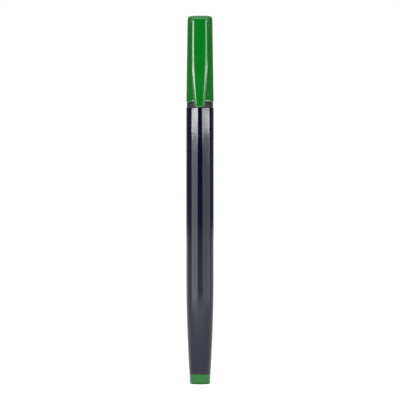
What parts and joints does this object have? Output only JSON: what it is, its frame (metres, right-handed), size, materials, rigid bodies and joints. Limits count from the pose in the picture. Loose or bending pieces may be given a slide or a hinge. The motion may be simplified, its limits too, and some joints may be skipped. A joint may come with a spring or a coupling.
{
  "type": "brush pen",
  "caption": "Capped felt-reservoir brush pen: soft pointed nib under a pull-off cap with a broad sprung pocket clip, slim round barrel closed by a tail plug.",
  "frame": {"origin": "centre of the flat end of the tail plug", "axes": "+Z along the pen from the tail to the crown of the cap; the clip is on the -Y side; +X is to the right when the clip faces the viewer"},
  "size_m": [0.0109, 0.013, 0.147],
  "materials": {
    "barrel_plastic": "near-black blue, moulded gloss",
    "section_plastic": "near-black, fine satin moulding",
    "ink_colour_plastic": "green, moulded gloss",
    "inner_cap_plastic": "natural milky soft plastic",
    "holder_plastic": "black, satin",
    "nib": "soft porous tip soaked with green ink",
    "ink_fibre": "bonded fibre soaked with green ink",
    "reservoir_film": "thin clear wrap"
  },
  "bodies": {
    "pen_body": {"barrel": "barrel_plastic", "tail_plug": "ink_colour_plastic", "reservoir_film": "reservoir_film", "reservoir_fibre": "ink_fibre", "relay_core": "ink_fibre", "front_section": "section_plastic", "nib_holder": "holder_plastic", "nib_shank": "nib"},
    "cap": {"cap_shell": "ink_colour_plastic", "inner_cap": "inner_cap_plastic"},
    "clip": {"clip": "ink_colour_plastic"},
    "nib": {"nib_tip": "nib"}
  },
  "joints": [
    {"name": "cap_pull", "type": "slide", "parent": "pen_body", "child": "cap", "axis": [0, 0, 1], "range_m": [0, 0.05]},
    {"name": "clip_flex", "type": "hinge", "parent": "cap", "child": "clip", "pos_m": [0, -0.0063, 0.14555], "axis": [-1, 0, 0], "range_deg": [0, 3], "stiffness_Nm_per_rad": 1.8},
    {"name": "nib_flex", "type": "hinge", "parent": "pen_body", "child": "nib", "pos_m": [0, 0, 0.1382], "axis": [1, 0, 0], "range_deg": [-15, 15], "stiffness_Nm_per_rad": 0.005}
  ]
}
